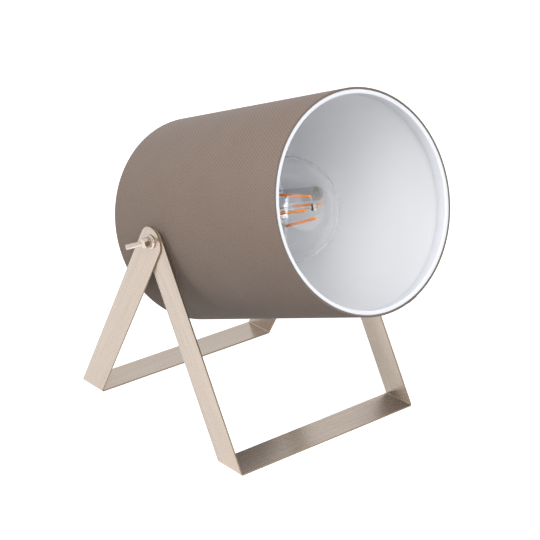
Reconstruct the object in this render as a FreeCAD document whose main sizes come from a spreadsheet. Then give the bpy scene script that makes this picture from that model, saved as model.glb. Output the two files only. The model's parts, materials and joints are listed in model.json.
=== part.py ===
import FreeCAD, Part
import math
import os

import Sketcher
from FreeCAD import Placement, Rotation, Vector

# Tabletop searchlight lamp: a round fabric shade that tilts between two folded strip stands.
# Lengths are millimetres and angles are degrees. +X is the way the lamp points, +Z is up.
# The origin is on the table, under the middle of the lamp.

doc = FreeCAD.newDocument("SearchlightLamp")
sheet = doc.addObject("Spreadsheet::Sheet", "Sizes")

# Driving sizes: name, value, what it is
DRIVING_SIZES = [
    ("pivot_height", 152.8, "height of the pivot axis over the table"),
    ("tilt_angle", 19.7, "how far the shade points up"),
    ("leg_angle", 30.0, "lean of each stand's arms from upright"),
    ("pivot_gap", 0.1, "play between neighbours on the pivot axis"),
    ("running_gap", 0.1, "play around a shaft in its hole"),
    ("seat_gap", 0.05, "glue line or assembly play between fixed pieces"),
    ("strip_width", 24.0, "width of the stands' steel strip"),
    ("strip_wall", 1.2, "thickness of the stands' steel strip"),
    ("bend_radius", 0.5, "inside radius of the stands' bends"),
    ("ear_reach", 10.7, "pivot to the end of a stand's ear"),
    ("cover_radius", 80.0, "outer radius of the fabric cover"),
    ("cover_wall", 0.9, "thickness of the fabric cover"),
    ("liner_wall", 0.8, "thickness of the white liner"),
    ("shade_front", 144.1, "pivot to the shade's front edge"),
    ("shade_rear", 57.3, "pivot to the shade's rear edge"),
    ("hem_depth", 9.5, "depth of the white hem inside each end"),
    ("hem_wall", 2.9, "thickness of the hem, with its wire"),
    ("hem_bevel", 1.2, "bevel of the hem's inner lip"),
    ("wire_radius", 1.1, "radius of the shade's ring wires"),
    ("wire_setback", 2.4, "hem edge to the middle of its wire"),
    ("wire_sides", 6, "sides of the ring wires' section"),
    ("panel_wall", 1.6, "thickness of the back panel"),
    ("yoke_width", 12.0, "width of the yoke strip"),
    ("yoke_wall", 1.5, "thickness of the yoke strip"),
    ("yoke_side_gap", 1.15, "yoke's arms to the shade's liner"),
    ("yoke_bend", 1.5, "inside radius of the yoke's bends"),
    ("yoke_hem_gap", 0.7, "yoke's bridge to the rear hem"),
    ("bush_radius", 5.5, "outer radius of the pivot bush"),
    ("bush_standoff", 4.3, "how far the pivot bush stands out of the shade"),
    ("bush_spigot_radius", 4.0, "radius of the bush's spigot in the yoke"),
    ("bush_rivet_radius", 5.3, "radius of the spigot's rolled-over end"),
    ("bush_rivet_wall", 0.8, "thickness of the rolled-over end"),
    ("shade_hole_gap", 0.3, "play between the bush and the shade wall"),
    ("washer_radius", 6.3, "outer radius of the friction washer"),
    ("washer_wall", 0.5, "thickness of the friction washer"),
    ("screw_radius", 2.45, "radius of the wing screw's shank"),
    ("screw_tip", 0.6, "how far the shank passes the bush"),
    ("flange_radius", 6.0, "radius of the wing screw's flange"),
    ("flange_wall", 1.1, "thickness of the wing screw's flange"),
    ("hub_foot_radius", 4.7, "radius of the wing screw's hub at the flange"),
    ("hub_top_radius", 3.9, "radius of the wing screw's hub at its top"),
    ("hub_length", 8.0, "height of the wing screw's hub over the flange"),
    ("hub_round", 1.6, "rounding of the hub's top edge"),
    ("wing_reach", 13.4, "screw axis to a wing's tip"),
    ("wing_height", 14.2, "height of a wing's tip over the stand"),
    ("wing_wall", 3.6, "thickness of the wings"),
    ("wing_bevel", 0.9, "bevel of the wings' edges"),
    ("wing_corner", 2.4, "rounding of the wings' tips"),
    ("wing_tip_width", 3.4, "straight top of a wing's tip"),
    ("wing_tip_height", 4.5, "height of a wing's tip"),
    ("right_wing_angle", 18.0, "turn of the right wing screw, up from straight ahead"),
    ("left_wing_angle", 64.0, "turn of the left wing screw, up from straight ahead"),
    ("nipple_radius", 5.0, "outer radius of the threaded nipple"),
    ("nipple_bore", 3.6, "radius of the nipple's bore"),
    ("nipple_tail", 1.2, "how far the nipple passes its nut"),
    ("nut_width", 14.0, "nipple nut across flats"),
    ("nut_wall", 3.0, "thickness of the nipple nut"),
    ("gland_bore", 3.2, "radius of the cord inlet"),
    ("gland_neck_radius", 5.9, "radius of the gland's neck in the panel"),
    ("gland_flange_radius", 9.0, "radius of the gland's outer flange"),
    ("gland_flange_wall", 2.2, "thickness of the gland's outer flange"),
    ("gland_lip_radius", 6.7, "radius of the gland's inner snap lip"),
    ("gland_lip_length", 2.4, "length of the gland's inner snap lip"),
    ("holder_length", 48.0, "length of the lampholder"),
    ("holder_radius", 19.5, "outer radius of the lampholder"),
    ("holder_neck_radius", 11.0, "radius of the lampholder's rear face"),
    ("holder_shoulder", 7.0, "length of the lampholder's sloping shoulder"),
    ("holder_wall", 1.9, "wall of the lampholder"),
    ("holder_end_wall", 2.4, "end wall of the lampholder"),
    ("holder_boss_length", 11.0, "length of the nipple's boss in the lampholder"),
    ("holder_boss_radius", 8.0, "outer radius of the nipple's boss"),
    ("holder_cap_length", 24.0, "length of the lampholder's rear half"),
    ("holder_joint", 4.0, "overlap of the lampholder's halves"),
    ("holder_lip", 1.5, "bevel of the lampholder's mouth"),
    ("core_gap", 0.6, "nipple's boss to the lampholder's insulating core"),
    ("core_wall", 5.0, "thickness of the lampholder's insulating core"),
    ("shell_wall", 0.4, "thickness of the screw shell"),
    ("shell_play", 0.25, "play between the bulb's cap and the screw shell"),
    ("shell_setback", 5.0, "holder mouth to the screw shell's edge"),
    ("contact_width", 5.0, "width of the lampholder's contact springs"),
    ("contact_wall", 0.4, "thickness of the contact springs"),
    ("contact_rise", 2.0, "height of the centre contact over the core"),
    ("terminal_radius", 1.6, "radius of a terminal screw"),
    ("terminal_length", 3.0, "length of a terminal screw's head"),
    ("terminal_offset", 10.5, "lampholder's axis to a terminal screw"),
    ("globe_radius", 40.0, "radius of the bulb's globe"),
    ("globe_wall", 0.8, "thickness of the bulb's glass"),
    ("globe_facets", 15, "straight facets of the globe from neck to crown"),
    ("flare_facets", 4, "straight facets of the curve from the neck into the globe"),
    ("neck_radius", 12.4, "radius of the bulb's neck"),
    ("neck_length", 1.5, "straight neck in front of the screw cap"),
    ("neck_flare", 20.0, "radius of the curve from the neck into the globe"),
    ("cap_radius", 13.1, "crest radius of the bulb's screw cap"),
    ("cap_root", 12.2, "root radius of the bulb's screw cap"),
    ("cap_wall", 0.3, "least wall of the bulb's screw cap"),
    ("cap_pitch", 3.6, "crest to crest along the screw cap"),
    ("cap_lip", 0.6, "rear edge of the screw cap to its first crest"),
    ("cap_turns", 5, "crests on the screw cap"),
    ("cap_collar", 5.0, "length of the screw cap's smooth collar"),
    ("insulator_length", 2.4, "length of the cap's insulator"),
    ("base_contact_radius", 4.6, "radius of the bulb's base contact"),
    ("base_contact_wall", 0.6, "thickness of the bulb's base contact"),
    ("stem_radius", 3.2, "radius of the stem's pressed part"),
    ("stem_length", 34.4, "length of the stem from its foot to the rod"),
    ("stem_flare", 4.0, "how far the stem's foot has drawn in half way up"),
    ("rod_radius", 1.3, "radius of the stem's rod"),
    ("bead_radius", 2.8, "radius of the bead at the rod's front"),
    ("filament_radius", 0.8, "radius of a filament"),
    ("filament_span", 38.0, "filaments' length along the bulb's axis"),
    ("crown_gap", 3.5, "bead to the inside of the globe's crown"),
    ("filament_rear_spread", 12.1, "bulb axis to the filaments' rear ends"),
    ("filament_front_spread", 8.1, "bulb axis to the filaments' front ends"),
    ("filament_count", 4, "filaments in the bulb"),
    ("filament_turn", 93.4, "turn of the first filament about the bulb's axis"),
    ("lead_radius", 0.35, "radius of the bulb's inner wires"),
]


class Size:
    """A number together with the formula that ties it to the sheet."""

    def __init__(self, number, formula):
        self.number = float(number)
        self.formula = formula

    def __float__(self):
        return self.number

    def joined(self, sign, other, number):
        return Size(number, "(%s %s %s)" % (self.formula, sign, as_size(other).formula))

    def __add__(self, other):
        return self.joined("+", other, self.number + float(other))

    def __sub__(self, other):
        return self.joined("-", other, self.number - float(other))

    def __mul__(self, other):
        return self.joined("*", other, self.number * float(other))

    def __truediv__(self, other):
        return self.joined("/", other, self.number / float(other))

    def __neg__(self):
        return Size(-self.number, "(0 - %s)" % self.formula)


class Sizes:
    """The sheet's cells by name."""


def as_size(value):
    return value if isinstance(value, Size) else Size(value, repr(float(value)))


def count(size):
    return int(float(size))


def square_root(size):
    return Size(math.sqrt(float(size)), "sqrt(%s)" % size.formula)


def arctangent(ratio):
    """The angle in degrees."""
    return Size(math.degrees(math.atan(float(ratio))), "(atan(%s) / 1 deg)" % ratio.formula)


def sine(angle):
    return Size(math.sin(math.radians(float(angle))), "sin(%s * 1 deg)" % angle.formula)


def cosine(angle):
    return Size(math.cos(math.radians(float(angle))), "cos(%s * 1 deg)" % angle.formula)


def tangent(angle):
    return Size(math.tan(math.radians(float(angle))), "tan(%s * 1 deg)" % angle.formula)


def fill_sheet():
    """Writes the driving sizes into the sheet and returns them by name."""
    sizes = Sizes()
    for row, (name, value, meaning) in enumerate(DRIVING_SIZES, start=1):
        sheet.set("A%d" % row, meaning)
        sheet.set("B%d" % row, str(value))
        sheet.setAlias("B%d" % row, name)
        setattr(sizes, name, Size(value, "Sizes.%s" % name))
    doc.recompute()
    return sizes


s = fill_sheet()


# Drawing helpers

def bind(feature, prop, size):
    """Sets a property and ties it to the sheet."""
    setattr(feature, prop, float(size))
    feature.setExpression(prop, as_size(size).formula)


def new_body(label):
    body = doc.addObject("PartDesign::Body", label)
    body.Label = label
    return body


def origin_feature(body, role):
    return next(item for item in body.Origin.OriginFeatures if item.Role == role)


def new_sketch(body, plane, name):
    """A sketch on one of the body's own planes, named XY, XZ or YZ."""
    sketch = body.newObject("Sketcher::SketchObject", name)
    sketch.AttachmentSupport = [(origin_feature(body, plane + "_Plane"), "")]
    sketch.MapMode = "FlatFace"
    return sketch


def pin_point(sketch, geometry, point, place):
    """Ties a point of a sketch to its two coordinates."""
    for kind, axis, size in (("DistanceX", -2, place[0]), ("DistanceY", -1, place[1])):
        if abs(float(size)) < 1e-9:
            sketch.addConstraint(Sketcher.Constraint("PointOnObject", geometry, point, axis))
            continue
        rule = Sketcher.Constraint(kind, -1, 1, geometry, point, float(size))
        index = sketch.addConstraint(rule)
        sketch.setExpression("Constraints[%d]" % index, as_size(size).formula)


def draw_outline(sketch, corners):
    """A closed outline of straight edges, each corner tied to the sheet."""
    first = sketch.GeometryCount
    points = [Vector(float(x), float(y), 0) for x, y in corners]
    for index, start in enumerate(points):
        sketch.addGeometry(Part.LineSegment(start, points[(index + 1) % len(points)]), False)
    for index in range(len(points)):
        following = first + (index + 1) % len(points)
        sketch.addConstraint(Sketcher.Constraint("Coincident", first + index, 2, following, 1))
    for index, corner in enumerate(corners):
        pin_point(sketch, first + index, 1, corner)


def draw_circle(sketch, radius, centre=(0, 0)):
    place = Vector(float(centre[0]), float(centre[1]), 0)
    circle = Part.Circle(place, Vector(0, 0, 1), float(radius))
    geometry = sketch.addGeometry(circle, False)
    pin_point(sketch, geometry, 3, centre)
    index = sketch.addConstraint(Sketcher.Constraint("Radius", geometry, float(radius)))
    sketch.setExpression("Constraints[%d]" % index, as_size(radius).formula)


def turn(body, corners):
    """Turns an outline of (radius, height) corners round the body's Z axis."""
    sketch = new_sketch(body, "XZ", "TurnedOutline")
    draw_outline(sketch, corners)
    feature = body.newObject("PartDesign::Revolution", "Turning")
    feature.Profile = sketch
    feature.ReferenceAxis = (sketch, ["V_Axis"])
    feature.Angle = 360.0
    doc.recompute()
    return feature


def pad(body, plane, corners, length):
    """Pads an outline by half its length to each side of the plane."""
    sketch = new_sketch(body, plane, "PaddedOutline")
    draw_outline(sketch, corners)
    return pad_sketch(body, sketch, length)


def pad_sketch(body, sketch, length):
    feature = body.newObject("PartDesign::Pad", "Padding")
    feature.Profile = sketch
    feature.Midplane = True
    bind(feature, "Length", length)
    doc.recompute()
    return feature


def pocket_sketch(body, sketch):
    """Cuts a sketch right through the body, both ways."""
    before = body.Shape.Volume
    feature = body.newObject("PartDesign::Pocket", "Cut")
    feature.Profile = sketch
    feature.Midplane = True
    feature.Type = "ThroughAll"
    doc.recompute()
    if body.Shape.Volume > before - 1e-3:
        raise ValueError("%s: a cut took nothing away" % body.Label)
    return feature


def drill(body, plane, radius, centre=(0, 0)):
    """A round hole right through the body, square to the plane."""
    sketch = new_sketch(body, plane, "Hole")
    draw_circle(sketch, radius, centre)
    return pocket_sketch(body, sketch)


def edges_where(shape, test):
    """Names of the edges whose middle point and direction pass the test."""
    names = []
    for index, edge in enumerate(shape.Edges, start=1):
        middle = edge.valueAt((edge.FirstParameter + edge.LastParameter) / 2)
        span = edge.Vertexes[-1].Point - edge.Vertexes[0].Point
        if test(middle, span):
            names.append("Edge%d" % index)
    return names


def round_edges(body, radius, test):
    """Rounds the edges that pass the test."""
    base = body.Tip
    feature = body.newObject("PartDesign::Fillet", "Rounding")
    feature.Base = (base, edges_where(base.Shape, test))
    bind(feature, "Radius", radius)
    doc.recompute()
    return feature


def bevel_edges(body, width, test):
    """Bevels the edges that pass the test."""
    base = body.Tip
    feature = body.newObject("PartDesign::Chamfer", "Bevel")
    feature.Base = (base, edges_where(base.Shape, test))
    bind(feature, "Size", width)
    doc.recompute()
    return feature


def near(first, second):
    return abs(float(first) - float(second)) < 1e-4


# Places on the lamp, worked out from the driving sizes

QUARTER_TURN = as_size(90)

stand_reach = s.pivot_height * tangent(s.leg_angle) + s.strip_width / 2 / cosine(s.leg_angle)
nose_reach = s.shade_front * cosine(s.tilt_angle) + s.cover_radius * sine(s.tilt_angle)
pivot_x = (stand_reach - nose_reach) / 2
PIVOT = Vector(float(pivot_x), 0, float(s.pivot_height))

liner_outer = s.cover_radius - s.cover_wall - s.seat_gap
liner_inner = liner_outer - s.liner_wall
hem_outer = liner_inner - s.seat_gap
panel_front = s.panel_wall - s.shade_rear
bridge_rear = panel_front + s.hem_depth + s.yoke_hem_gap
bridge_front = bridge_rear + s.yoke_wall

yoke_half_span = liner_inner - s.yoke_side_gap
yoke_inner = yoke_half_span - s.yoke_wall
bush_outer = s.cover_radius + s.bush_standoff
washer_outer = bush_outer + s.washer_wall
narrow_inner = washer_outer + s.pivot_gap
narrow_outer = narrow_inner + s.strip_wall
wide_inner = narrow_outer + s.pivot_gap
wide_outer = wide_inner + s.strip_wall
flange_seat = wide_outer + s.pivot_gap
shaft_hole = s.screw_radius + s.running_gap

holder_front = bridge_front + s.holder_length
core_rear = bridge_front + s.holder_boss_length + s.core_gap
core_front = core_rear + s.core_wall
base_contact_rear = core_front + s.contact_rise
insulator_rear = base_contact_rear + s.base_contact_wall
cap_rear = insulator_rear + s.insulator_length
cap_front = cap_rear + s.cap_pitch * s.cap_turns + s.cap_collar
shell_inner = s.cap_radius + s.shell_play
shell_outer = shell_inner + s.shell_wall
glass_rear = cap_rear + s.cap_pitch * s.cap_turns
flare_side = s.neck_radius + s.neck_flare
flare_reach = s.globe_radius + s.neck_flare
flare_back = square_root(flare_reach * flare_reach - flare_side * flare_side)
flare_rear = cap_front + s.neck_length
globe_forward = flare_rear + flare_back
crown_inside = globe_forward + s.globe_radius - s.globe_wall
filament_front = crown_inside - s.crown_gap - s.bead_radius
filament_rear = filament_front - s.filament_span
stem_pinch = glass_rear + s.stem_length
stem_foot_radius = s.neck_radius - s.globe_wall - s.seat_gap


def along_shade(body):
    """Puts a piece drawn about the Z axis onto the shade's axis, with its zero at the pivot."""
    body.Placement = Placement(PIVOT, Rotation(Vector(0, 1, 0), 90 - float(s.tilt_angle)))
    return body


def outward(body, side, turn_angle=0.0):
    """Puts a piece drawn about the Z axis onto the pivot axis, pointing out of one side."""
    lie_down = Rotation(Vector(1, 0, 0), -90 * side)
    turned = Rotation(Vector(0, 1, 0), -turn_angle)
    body.Placement = Placement(PIVOT, turned.multiply(lie_down))
    return body


# Stands

def make_stand(label, half_span, way):
    """A flat strip bent twice into a U, whose arms lean forward (way 1) or back (way -1)."""
    body = new_body(label)
    inner = half_span - s.strip_wall
    top = s.pivot_height + s.strip_width
    length = (stand_reach + s.strip_width) * 2
    zero = as_size(0)
    pad(body, "YZ", [(-half_span, zero), (half_span, zero), (half_span, top), (inner, top),
                     (inner, s.strip_wall), (-inner, s.strip_wall), (-inner, top), (-half_span, top)],
        length)
    round_edges(body, s.bend_radius, lambda middle, span: near(middle.z, s.strip_wall)
                and near(abs(middle.y), inner))
    round_edges(body, s.bend_radius + s.strip_wall, lambda middle, span: near(middle.z, 0)
                and near(abs(middle.y), half_span) and near(span.y, 0))
    trim_to_side_view(body, length / 2 + s.strip_width, top + s.strip_width, way)
    drill(body, "XZ", shaft_hole, (as_size(0), s.pivot_height))
    body.Placement = Placement(Vector(PIVOT.x, 0, 0), Rotation())
    return body


def trim_to_side_view(body, reach, top, way):
    """Cuts away all but the leaning arms and the foot, and rounds the arms' ears."""
    half_width = s.strip_width / 2
    half_foot = half_width / cosine(s.leg_angle)
    foot = s.pivot_height * tangent(s.leg_angle) * way
    lean_x = -sine(s.leg_angle) * way
    lean_z = cosine(s.leg_angle)
    across_x = half_width * lean_z
    across_z = -half_width * lean_x
    end_x = s.ear_reach * lean_x
    end_z = s.pivot_height + s.ear_reach * lean_z
    below = -s.strip_width
    sketch = new_sketch(body, "XZ", "AroundSideView")
    draw_outline(sketch, [(-reach, below * 2), (reach, below * 2), (reach, top), (-reach, top)])
    draw_outline(sketch, [(foot - half_foot, below), (foot + half_foot, below),
                          (foot + half_foot, s.strip_wall), (end_x + across_x, end_z + across_z),
                          (end_x - across_x, end_z - across_z), (foot - half_foot, s.strip_wall)])
    pocket_sketch(body, sketch)
    round_edges(body, half_width - s.seat_gap, lambda middle, span: near(span.x, 0) and near(span.z, 0)
                and middle.z > float(s.pivot_height))


# Shade

def make_tube(label, outer, inner, rear, front):
    """A tube of the shade with a hole each side for the pivot bush."""
    body = new_body(label)
    turn(body, [(inner, rear), (outer, rear), (outer, front), (inner, front)])
    drill(body, "XZ", s.bush_radius + s.shade_hole_gap)
    return along_shade(body)


def make_hem(label, edge, inward):
    """A folded hem with a slot that holds the ring wire; inward is 1 or -1 along the axis."""
    body = new_body(label)
    inner = liner_inner - s.hem_wall
    slot_floor = hem_outer - s.wire_radius * 2 - s.seat_gap * 2
    slot_half = s.wire_radius + s.seat_gap
    far = edge + s.hem_depth * inward
    slot_near = edge + (s.wire_setback - slot_half) * inward
    slot_far = edge + (s.wire_setback + slot_half) * inward
    turn(body, [(inner + s.hem_bevel, edge), (hem_outer, edge), (hem_outer, slot_near),
                (slot_floor, slot_near), (slot_floor, slot_far), (hem_outer, slot_far),
                (hem_outer, far), (inner, far), (inner, edge + s.hem_bevel * inward)])
    return along_shade(body)


def make_ring_wire(label, edge, inward):
    """The steel ring in a hem's slot, with a many-sided section in place of a round one."""
    body = new_body(label)
    across = hem_outer - s.wire_radius - s.seat_gap
    along = edge + s.wire_setback * inward
    section = []
    for number in range(count(s.wire_sides)):
        angle = QUARTER_TURN * 4 * number / s.wire_sides
        section.append((across + s.wire_radius * cosine(angle), along + s.wire_radius * sine(angle)))
    turn(body, section)
    return along_shade(body)


def make_back_panel():
    body = new_body("back_panel")
    rim = s.cover_radius - s.cover_wall - s.seat_gap
    hole = s.gland_neck_radius + s.seat_gap
    turn(body, [(hole, -s.shade_rear), (rim, -s.shade_rear), (rim, panel_front), (hole, panel_front)])
    return along_shade(body)


def make_cord_gland():
    """A snap-in bush that takes the mains cord through the back panel."""
    body = new_body("cord_gland")
    outside = -s.shade_rear - s.seat_gap
    inside = panel_front + s.seat_gap
    lip_end = inside + s.gland_lip_length
    turn(body, [(s.gland_bore, outside - s.gland_flange_wall),
                (s.gland_flange_radius - s.gland_flange_wall / 2, outside - s.gland_flange_wall),
                (s.gland_flange_radius, outside - s.gland_flange_wall / 2),
                (s.gland_flange_radius, outside),
                (s.gland_neck_radius, outside),
                (s.gland_neck_radius, inside),
                (s.gland_lip_radius, inside),
                (s.gland_neck_radius, lip_end),
                (s.gland_bore, lip_end)])
    return along_shade(body)


# Yoke and pivots

def make_yoke():
    """The strip inside the shade that joins both pivots and carries the lampholder."""
    body = new_body("yoke")
    outer = yoke_half_span
    inner = yoke_inner
    tip = s.yoke_width / 2
    pad(body, "YZ", [(-outer, bridge_rear), (outer, bridge_rear), (outer, tip), (inner, tip),
                     (inner, bridge_front), (-inner, bridge_front), (-inner, tip), (-outer, tip)],
        s.yoke_width)
    round_edges(body, s.yoke_bend, lambda middle, span: near(middle.z, bridge_front)
                and near(abs(middle.y), inner) and near(span.y, 0))
    round_edges(body, s.yoke_bend + s.yoke_wall, lambda middle, span: near(middle.z, bridge_rear)
                and near(abs(middle.y), outer) and near(span.y, 0))
    round_edges(body, tip - s.seat_gap, lambda middle, span: near(middle.z, tip)
                and near(abs(middle.x), tip) and near(span.x, 0))
    drill(body, "XZ", s.bush_spigot_radius + s.seat_gap)
    drill(body, "XY", s.nipple_radius + s.seat_gap)
    return along_shade(body)


def make_pivot_bush(label, side):
    """The tapped bush riveted to the yoke, which the wing screw pulls the stands against."""
    body = new_body(label)
    rivet_seat = yoke_inner - s.seat_gap
    shoulder = yoke_half_span + s.seat_gap
    rivet_end = rivet_seat - s.bush_rivet_wall
    turn(body, [(shaft_hole, rivet_end), (s.bush_rivet_radius, rivet_end),
                (s.bush_rivet_radius, rivet_seat), (s.bush_spigot_radius, rivet_seat),
                (s.bush_spigot_radius, shoulder), (s.bush_radius, shoulder),
                (s.bush_radius, bush_outer), (shaft_hole, bush_outer)])
    return outward(body, side)


def make_friction_washer(label, side):
    body = new_body(label)
    inner = shaft_hole + s.running_gap
    seat = bush_outer + s.seat_gap
    turn(body, [(inner, seat), (s.washer_radius, seat), (s.washer_radius, washer_outer),
                (inner, washer_outer)])
    return outward(body, side)


def make_wing_screw(label, side, wing_angle):
    """A wing screw: two wings, then the shank, round flange and tapered hub turned onto them."""
    body = new_body(label)
    tip = yoke_inner - s.bush_rivet_wall - s.screw_tip
    hub_foot = flange_seat + s.flange_wall
    hub_top = hub_foot + s.hub_length
    wing_top = wide_outer + s.wing_height
    wing_foot = hub_foot + s.flange_wall
    wing_inner = s.hub_top_radius / 2
    half = [(s.hub_foot_radius, wing_foot), (s.wing_reach, wing_top - s.wing_tip_height),
            (s.wing_reach, wing_top), (s.wing_reach - s.wing_tip_width, wing_top),
            (wing_inner, hub_top - s.hub_round)]
    outline = half + [(-x, height) for x, height in reversed(half)]
    pad(body, "XZ", outline, s.wing_wall)
    beyond_hub = float(s.hub_foot_radius + s.flange_wall)
    round_edges(body, s.wing_corner, lambda middle, span: near(span.x, 0) and near(span.z, 0)
                and abs(middle.x) > beyond_hub)
    half_wall = float(s.wing_wall) / 2
    bevel_edges(body, s.wing_bevel, lambda middle, span: near(abs(middle.y), half_wall)
                and abs(middle.x) > float(wing_inner))
    turn(body, [(as_size(0), tip), (s.screw_radius, tip), (s.screw_radius, flange_seat),
                (s.flange_radius, flange_seat), (s.flange_radius, hub_foot),
                (s.hub_foot_radius, hub_foot), (s.hub_top_radius, hub_top - s.hub_round),
                (s.hub_top_radius - s.hub_round, hub_top), (as_size(0), hub_top)])
    return outward(body, side, wing_angle)


# Lampholder

def make_nipple():
    """The threaded tube that clamps the lampholder to the yoke and passes the cord's wires."""
    body = new_body("threaded_nipple")
    rear = bridge_rear - s.nut_wall - s.nipple_tail
    front = bridge_front + s.holder_boss_length - s.seat_gap
    turn(body, [(s.nipple_bore, rear), (s.nipple_radius, rear), (s.nipple_radius, front),
                (s.nipple_bore, front)])
    return along_shade(body)


def make_nipple_nut():
    body = new_body("nipple_nut")
    sketch = new_sketch(body, "XY", "Hexagon")
    half = s.nut_width / 2
    corner = half / cosine(QUARTER_TURN / 3)
    draw_outline(sketch, [(corner, as_size(0)), (corner / 2, half), (-corner / 2, half),
                          (-corner, as_size(0)), (-corner / 2, -half), (corner / 2, -half)])
    pad_sketch(body, sketch, s.nut_wall)
    drill(body, "XY", s.nipple_radius + s.seat_gap)
    rotation = Rotation(Vector(0, 1, 0), 90 - float(s.tilt_angle))
    middle = bridge_rear - s.nut_wall / 2 - s.seat_gap
    body.Placement = Placement(PIVOT + rotation.multVec(Vector(0, 0, float(middle))), rotation)
    return body


def make_holder_cap():
    """The rear half of the lampholder, with the boss that takes the nipple."""
    body = new_body("holder_cap")
    rear = bridge_front + s.seat_gap
    inner = s.holder_radius - s.holder_wall
    front = bridge_front + s.holder_cap_length
    bore = s.nipple_radius + s.seat_gap
    boss_front = bridge_front + s.holder_boss_length
    shoulder = rear + s.holder_shoulder
    floor = rear + s.holder_end_wall
    turn(body, [(bore, rear), (s.holder_neck_radius, rear), (s.holder_radius, shoulder),
                (s.holder_radius, front), (inner, front), (inner, shoulder + s.holder_wall / 2),
                (s.holder_neck_radius, floor), (s.holder_boss_radius, floor),
                (s.holder_boss_radius, boss_front), (bore, boss_front)])
    return along_shade(body)


def make_holder_sleeve():
    """The front half of the lampholder, which screws onto the rear half."""
    body = new_body("holder_sleeve")
    joint = bridge_front + s.holder_cap_length
    skirt = s.holder_radius - s.holder_wall - s.seat_gap
    inner = shell_outer + s.running_gap + s.seat_gap
    seat = joint + s.seat_gap
    turn(body, [(inner, joint - s.holder_joint), (skirt, joint - s.holder_joint), (skirt, seat),
                (s.holder_radius, seat), (s.holder_radius, holder_front - s.holder_lip),
                (s.holder_radius - s.holder_lip, holder_front), (inner, holder_front)])
    return along_shade(body)


def make_holder_core():
    """The insulating core that carries the contacts and the screw shell."""
    body = new_body("holder_core")
    rim = shell_outer
    turn(body, [(as_size(0), core_rear), (rim, core_rear), (rim, core_front), (as_size(0), core_front)])
    return along_shade(body)


def make_screw_shell():
    """The metal thread that the bulb screws into, drawn as its plain tube and foot."""
    body = new_body("screw_shell")
    foot = core_front + s.seat_gap
    lip = shell_outer - s.holder_wall
    edge = holder_front - s.shell_setback
    turn(body, [(lip, foot), (shell_outer, foot), (shell_outer, edge), (shell_inner, edge),
                (shell_inner, foot + s.shell_wall), (lip, foot + s.shell_wall)])
    return along_shade(body)


def make_centre_contact():
    """The spring tongue under the bulb's base contact."""
    body = new_body("centre_contact")
    low = core_front + s.seat_gap
    high = base_contact_rear - s.seat_gap - s.contact_wall
    half = s.base_contact_radius
    reach = s.base_contact_radius * 2
    pad(body, "XZ", [(-half, high), (half, high), (reach, low), (reach, low + s.contact_wall),
                     (half, high + s.contact_wall), (-half, high + s.contact_wall)], s.contact_width)
    return along_shade(body)


def make_side_contact():
    """The strip from the screw shell's foot to its terminal, down the side of the core."""
    body = new_body("side_contact")
    inner = shell_outer + s.seat_gap
    outer = inner + s.contact_wall
    low = core_rear - s.contact_wall - s.seat_gap
    under = s.terminal_offset - s.contact_width / 2
    pad(body, "YZ", [(under, low), (outer, low), (outer, core_front), (inner, core_front),
                     (inner, low + s.contact_wall), (under, low + s.contact_wall)], s.contact_width)
    return along_shade(body)


def make_terminal_screws():
    """Two screw heads behind the core, one for each wire."""
    heads = []
    rotation = Rotation(Vector(0, 1, 0), 90 - float(s.tilt_angle))
    top = core_rear - s.contact_wall - s.seat_gap * 2
    for side in (-1, 1):
        head = doc.addObject("Part::Cylinder", "terminal_head")
        bind(head, "Radius", s.terminal_radius)
        bind(head, "Height", s.terminal_length)
        place = Vector(0, side * float(s.terminal_offset), float(top - s.terminal_length))
        head.Placement = Placement(PIVOT + rotation.multVec(place), rotation)
        heads.append(head)
    return group_of("terminal_screws", heads)


def group_of(label, members):
    group = doc.addObject("Part::Compound", label)
    group.Label = label
    group.Links = members
    return group


# Bulb

def globe_outline(inset):
    """The glass's outline from its rear edge to its crown, drawn in by an inset."""
    ball = s.globe_radius - inset
    flare = s.neck_flare + inset
    meet = arctangent(flare_back / flare_side)
    outline = [(s.neck_radius - inset, glass_rear)]
    for number in range(count(s.flare_facets)):
        angle = meet * number / s.flare_facets
        outline.append((flare_side - flare * cosine(angle), flare_rear + flare * sine(angle)))
    for number in range(count(s.globe_facets)):
        angle = (meet + QUARTER_TURN) * number / s.globe_facets - meet
        outline.append((ball * cosine(angle), globe_forward + ball * sine(angle)))
    outline.append((as_size(0), globe_forward + ball))
    return outline


def make_bulb_glass():
    """A globe on a flared neck, blown as one thin wall and drawn with straight facets."""
    body = new_body("bulb_glass")
    turn(body, globe_outline(as_size(0)) + list(reversed(globe_outline(s.globe_wall))))
    return along_shade(body)


def make_bulb_cap():
    """The bulb's screw cap: five crests, then a smooth collar round the neck."""
    body = new_body("bulb_cap")
    inner = s.cap_root - s.cap_wall
    outline = [(inner, cap_rear), (s.cap_root, cap_rear)]
    for number in range(count(s.cap_turns)):
        crest = cap_rear + s.cap_lip + s.cap_pitch * number
        outline.append((s.cap_radius, crest))
        outline.append((s.cap_root, crest + s.cap_pitch / 2))
    seat = s.neck_radius + s.seat_gap
    step = glass_rear - s.seat_gap
    outline.extend([(s.cap_radius, glass_rear), (s.cap_radius, cap_front), (seat, cap_front),
                    (seat, step), (inner, step)])
    turn(body, outline)
    return along_shade(body)


def make_cap_insulator():
    body = new_body("cap_insulator")
    rear = insulator_rear + s.seat_gap
    front = cap_rear - s.seat_gap
    zero = as_size(0)
    rim = s.cap_root - s.cap_wall
    turn(body, [(zero, rear), (s.base_contact_radius, rear), (rim, front), (zero, front)])
    return along_shade(body)


def make_base_contact():
    body = new_body("base_contact")
    tip_radius = s.base_contact_radius - s.base_contact_wall
    turn(body, [(as_size(0), base_contact_rear), (tip_radius, base_contact_rear),
                (s.base_contact_radius, insulator_rear), (as_size(0), insulator_rear)])
    return along_shade(body)


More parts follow.
